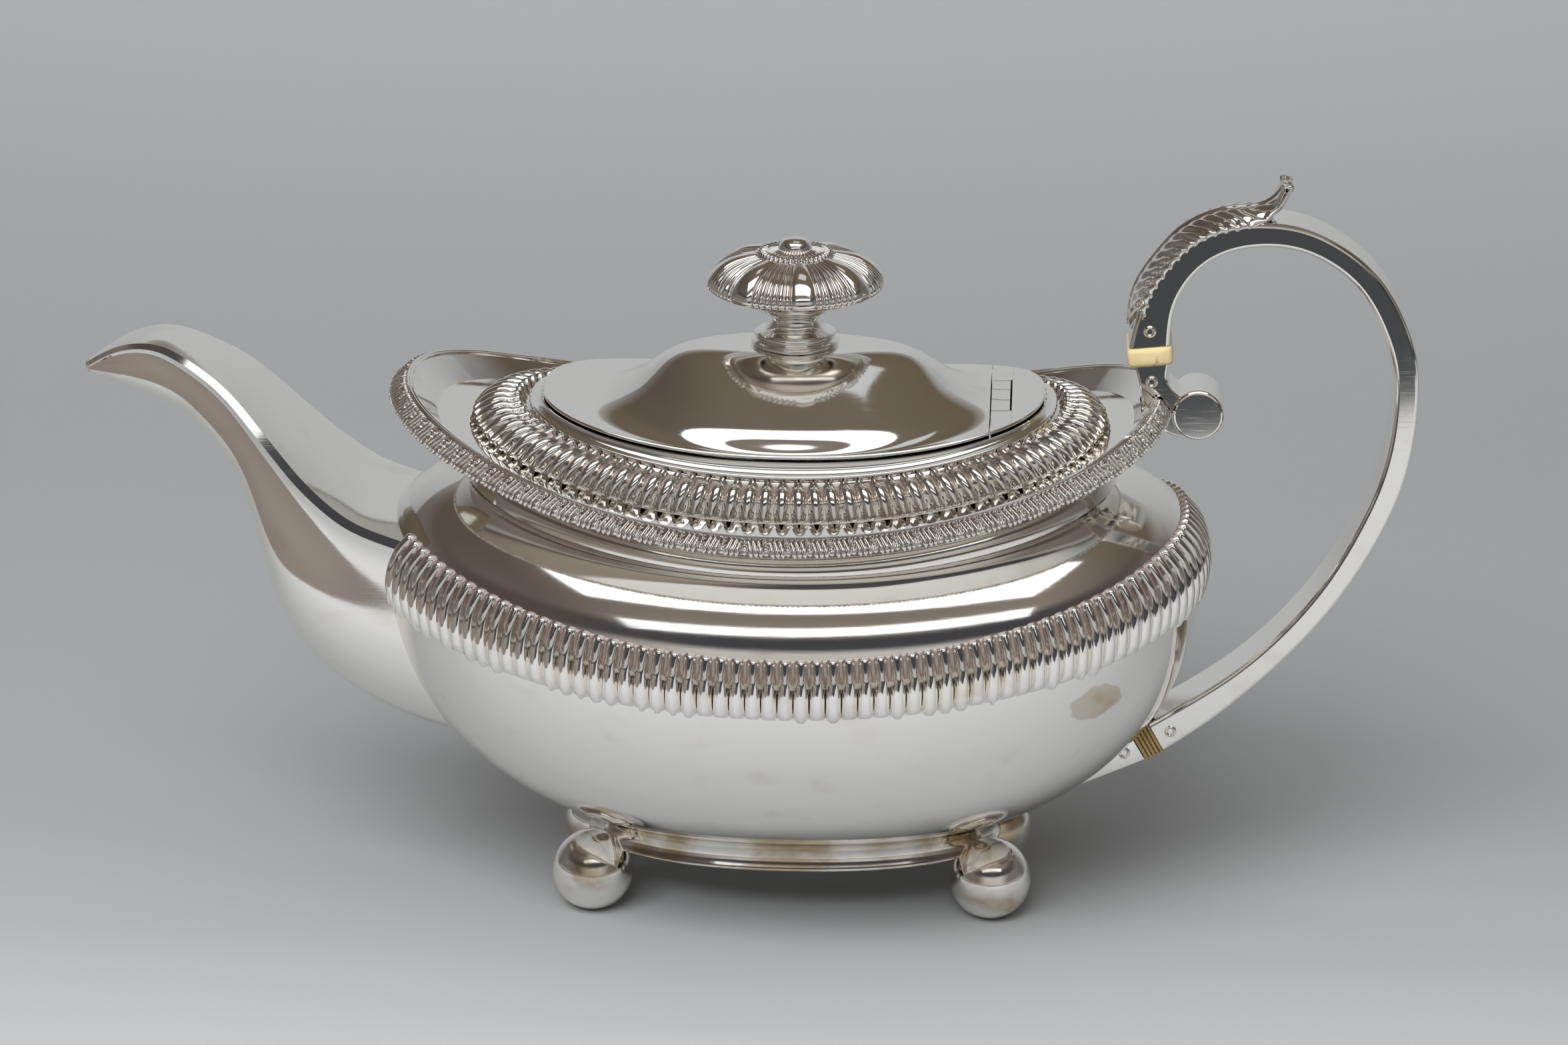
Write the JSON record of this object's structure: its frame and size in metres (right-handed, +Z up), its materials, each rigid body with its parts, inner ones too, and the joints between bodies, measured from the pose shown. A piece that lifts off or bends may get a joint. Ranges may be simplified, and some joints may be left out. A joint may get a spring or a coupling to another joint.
{
  "type": "silver teapot",
  "caption": "Boat-shaped silver teapot on ball feet with lobed belly, gadrooned rim, flush-hinged domed lid, beaked spout and insulated loop handle.",
  "frame": {"origin": "On the table under the middle of the whole length, midway between spout tip and handle back", "axes": "+Z up; -X towards the spout, +X towards the handle; +Y to the far side seen with the spout on the left"},
  "size_m": [0.2878, 0.121, 0.1672],
  "materials": {
    "polished_silver": "polished silver with faint scratches and a warm tarnish near the seams",
    "chased_silver": "chased silver, bright on the crests and dull pinkish in the grooves",
    "pale_bone": "pale yellowed bone with fine age cracks, satin",
    "brown_bone": "browned bone with fine ribs, satin"
  },
  "bodies": {
    "pot": {"foot_ring": "polished_silver", "lower_bowl": "polished_silver", "shoulder": "polished_silver", "cover_plate": "polished_silver", "mouth_ring": "polished_silver", "hinge_plate": "polished_silver", "hinge_pin": "polished_silver", "spout": "polished_silver", "strainer": "polished_silver", "upper_socket": "polished_silver", "handle": "polished_silver", "lower_socket": "polished_silver", "upper_socket_pin": "polished_silver", "upper_handle_pin": "polished_silver", "lower_handle_pin": "polished_silver", "lower_socket_pin": "polished_silver", "ball_foot_spout_right": "polished_silver", "ball_foot_spout_left": "polished_silver", "ball_foot_handle_right": "polished_silver", "ball_foot_handle_left": "polished_silver", "lobed_band": "chased_silver", "fluted_collar": "chased_silver", "gadroon_border": "chased_silver", "leaf_thumbpiece": "chased_silver", "upper_insulator": "pale_bone", "lower_insulator": "brown_bone"},
    "lid": {"lid": "polished_silver", "lid_bezel": "polished_silver", "finial_stem": "chased_silver", "finial_cap": "chased_silver", "finial_button": "chased_silver", "finial_bolt": "polished_silver", "finial_nut": "polished_silver"}
  },
  "joints": [
    {"name": "lid_hinge", "type": "hinge", "parent": "pot", "child": "lid", "pos_m": [0.05474, 0, 0.11358], "axis": [0, 1, 0], "range_deg": [0, 78]}
  ]
}
